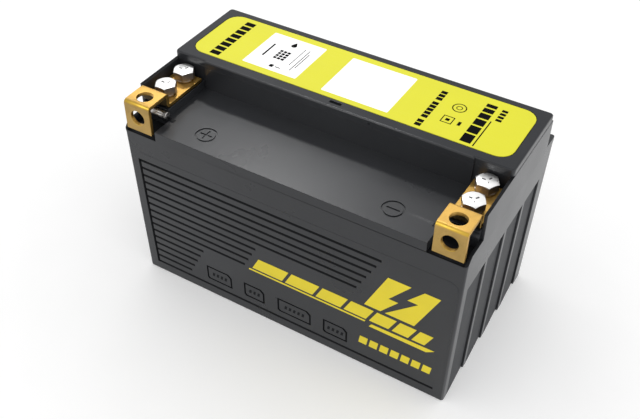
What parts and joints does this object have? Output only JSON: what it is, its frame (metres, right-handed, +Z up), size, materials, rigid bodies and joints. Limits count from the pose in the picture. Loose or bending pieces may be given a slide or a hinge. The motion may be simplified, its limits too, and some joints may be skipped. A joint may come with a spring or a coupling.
{
  "type": "motorcycle battery",
  "caption": "Sealed block battery with a drafted grooved case, stepped lid with a label ridge, and bolted L-shaped brass corner terminals.",
  "frame": {"origin": "middle of the underside of the case", "axes": "+Z up; +X along the length, from the positive to the negative terminal; -Y towards the grooved front where the terminals are"},
  "size_m": [0.15, 0.085, 0.0957],
  "materials": {
    "charcoal_plastic": "fine moulded grain, satin",
    "label_film": "printed polyester film, satin",
    "terminal_brass": "bare rolled sheet, satin",
    "bolt_zinc": "bright zinc plating",
    "pin_steel": "bright drawn rod",
    "post_lead": "cast lead alloy, dull",
    "positive_paste": "lead dioxide paste on a grid, matte",
    "negative_paste": "sponge lead paste on a grid, matte",
    "glass_mat": "absorbent glass mat",
    "black_rubber": "soft moulded rubber"
  },
  "bodies": {
    "battery": {"case_jar": "charcoal_plastic", "cell_weld_1": "post_lead", "cell_weld_2": "post_lead", "cell_weld_3": "post_lead", "cell_weld_4": "post_lead", "cell_weld_5": "post_lead", "mid_cover": "charcoal_plastic", "negative_nut_pin": "pin_steel", "negative_plates_1": "negative_paste", "negative_plates_2": "negative_paste", "negative_plates_3": "negative_paste", "negative_plates_4": "negative_paste", "negative_plates_5": "negative_paste", "negative_plates_6": "negative_paste", "negative_post": "post_lead", "negative_post_seal": "black_rubber", "negative_terminal": "terminal_brass", "positive_nut_pin": "pin_steel", "positive_plates_1": "positive_paste", "positive_plates_2": "positive_paste", "positive_plates_3": "positive_paste", "positive_plates_4": "positive_paste", "positive_plates_5": "positive_paste", "positive_plates_6": "positive_paste", "positive_post": "post_lead", "positive_post_seal": "black_rubber", "positive_terminal": "terminal_brass", "separator_1": "glass_mat", "separator_2": "glass_mat", "separator_3": "glass_mat", "separator_4": "glass_mat", "separator_5": "glass_mat", "separator_6": "glass_mat", "top_cover": "charcoal_plastic", "top_label": "label_film", "valve_cap_1": "black_rubber", "valve_cap_2": "black_rubber", "valve_cap_3": "black_rubber", "valve_cap_4": "black_rubber", "valve_cap_5": "black_rubber", "valve_cap_6": "black_rubber"},
    "positive_washer_1": {"positive_washer_1": "bolt_zinc"},
    "positive_bolt_1": {"positive_bolt_1": "bolt_zinc"},
    "positive_washer_2": {"positive_washer_2": "bolt_zinc"},
    "positive_bolt_2": {"positive_bolt_2": "bolt_zinc"},
    "negative_washer_1": {"negative_washer_1": "bolt_zinc"},
    "negative_bolt_1": {"negative_bolt_1": "bolt_zinc"},
    "negative_washer_2": {"negative_washer_2": "bolt_zinc"},
    "negative_bolt_2": {"negative_bolt_2": "bolt_zinc"}
  },
  "joints": [
    {"name": "positive_bolt_1_lift", "type": "slide", "parent": "battery", "child": "positive_washer_1", "axis": [0, 0, 1], "range_m": [0, 0.008]},
    {"name": "positive_bolt_1_turn", "type": "hinge", "parent": "positive_washer_1", "child": "positive_bolt_1", "pos_m": [-0.0672, -0.0118, 0.0887], "axis": [0, 0, 1], "range_deg": [0, 3600]},
    {"name": "positive_bolt_2_lift", "type": "slide", "parent": "battery", "child": "positive_washer_2", "axis": [0, 0, 1], "range_m": [0, 0.008]},
    {"name": "positive_bolt_2_turn", "type": "hinge", "parent": "positive_washer_2", "child": "positive_bolt_2", "pos_m": [-0.0672, -0.0237, 0.0887], "axis": [0, 0, 1], "range_deg": [0, 3600]},
    {"name": "negative_bolt_1_lift", "type": "slide", "parent": "battery", "child": "negative_washer_1", "axis": [0, 0, 1], "range_m": [0, 0.008]},
    {"name": "negative_bolt_1_turn", "type": "hinge", "parent": "negative_washer_1", "child": "negative_bolt_1", "pos_m": [0.0672, -0.0118, 0.0887], "axis": [0, 0, 1], "range_deg": [0, 3600]},
    {"name": "negative_bolt_2_lift", "type": "slide", "parent": "battery", "child": "negative_washer_2", "axis": [0, 0, 1], "range_m": [0, 0.008]},
    {"name": "negative_bolt_2_turn", "type": "hinge", "parent": "negative_washer_2", "child": "negative_bolt_2", "pos_m": [0.0672, -0.0237, 0.0887], "axis": [0, 0, 1], "range_deg": [0, 3600]}
  ],
  "couplings": [
    {"joint": "positive_bolt_1_turn", "follows": "positive_bolt_1_lift", "rad_per_m": 7853.9},
    {"joint": "positive_bolt_2_turn", "follows": "positive_bolt_2_lift", "rad_per_m": 7853.9},
    {"joint": "negative_bolt_1_turn", "follows": "negative_bolt_1_lift", "rad_per_m": 7853.9},
    {"joint": "negative_bolt_2_turn", "follows": "negative_bolt_2_lift", "rad_per_m": 7853.9}
  ]
}
